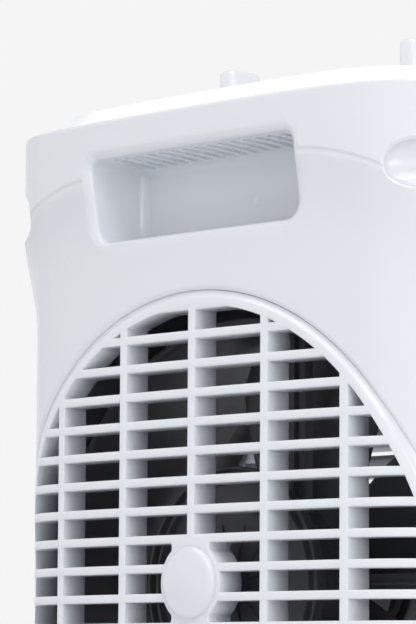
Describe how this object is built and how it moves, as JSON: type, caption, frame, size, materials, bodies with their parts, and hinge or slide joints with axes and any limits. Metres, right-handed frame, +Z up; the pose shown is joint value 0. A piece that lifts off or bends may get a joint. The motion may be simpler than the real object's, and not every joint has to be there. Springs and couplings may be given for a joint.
{
  "type": "box fan",
  "caption": "Upright box fan with a fixed rear grille, revolving front louvre, carrying recess and rotary speed and timer knobs on its lid",
  "frame": {"origin": "centre of the footprint, on the surface that the feet stand on", "axes": "+Z up, the air outlet with the revolving louvre faces -Y, the intake grille and the carrying recess face +Y, +X is on the right seen from the front"},
  "size_m": [0.34, 0.19, 0.4984],
  "materials": {
    "casing": "satin moulded, cool white",
    "lid": "smooth moulded, bright white",
    "inner_plastic": "moulded, dark grey",
    "motor_case": "dark grey enamel",
    "impeller": "moulded, smoke grey",
    "steel": "zinc plated",
    "core": "stacked laminations",
    "bearing": "sintered bronze",
    "electrics": "moulded, black",
    "rubber": "moulded",
    "screw": "zinc plated"
  },
  "bodies": {
    "casing": {"rear_shell": "casing", "front_shell": "casing", "rear_grille": "casing", "rear_hub_cap": "casing", "top_lid": "lid", "shroud": "inner_plastic", "motor_bracket": "inner_plastic", "outlet_bracket": "inner_plastic", "motor_housing_front": "motor_case", "motor_housing_rear": "motor_case", "stator": "core", "bearing_front": "bearing", "bearing_rear": "bearing", "louvre_gearmotor": "steel", "speed_switch": "electrics", "timer_unit": "electrics", "run_capacitor": "electrics", "terminal_box": "electrics", "cord_inlet": "rubber", "foot_front_left": "rubber", "foot_front_right": "rubber", "foot_back_left": "rubber", "foot_back_right": "rubber", "case_screw_1": "screw", "case_screw_2": "screw", "case_screw_3": "screw", "case_screw_4": "screw", "motor_screw_1": "screw", "motor_screw_2": "screw", "motor_screw_3": "screw", "motor_screw_4": "screw", "bracket_screw_1": "screw", "bracket_screw_2": "screw"},
    "impeller": {"motor_shaft": "steel", "rotor": "core", "fan_blade": "impeller", "blade_nut": "impeller"},
    "louvre": {"front_louvre": "casing", "louvre_cap": "casing", "louvre_axle": "steel"},
    "speed_control": {"speed_knob": "lid", "speed_shaft": "steel"},
    "timer_control": {"timer_knob": "lid", "timer_shaft": "steel"}
  },
  "joints": [
    {"name": "impeller_spin", "type": "hinge", "parent": "casing", "child": "impeller", "pos_m": [0, 0, 0.192], "axis": [0, 1, 0], "continuous": true},
    {"name": "louvre_spin", "type": "hinge", "parent": "casing", "child": "louvre", "pos_m": [0, -0.0855, 0.192], "axis": [0, 1, 0], "continuous": true},
    {"name": "speed_turn", "type": "hinge", "parent": "casing", "child": "speed_control", "pos_m": [0.071, -0.023, 0.4732], "axis": [0, 0, -1], "range_deg": [0, 135]},
    {"name": "timer_turn", "type": "hinge", "parent": "casing", "child": "timer_control", "pos_m": [-0.071, -0.023, 0.4732], "axis": [0, 0, -1], "range_deg": [0, 270]}
  ]
}
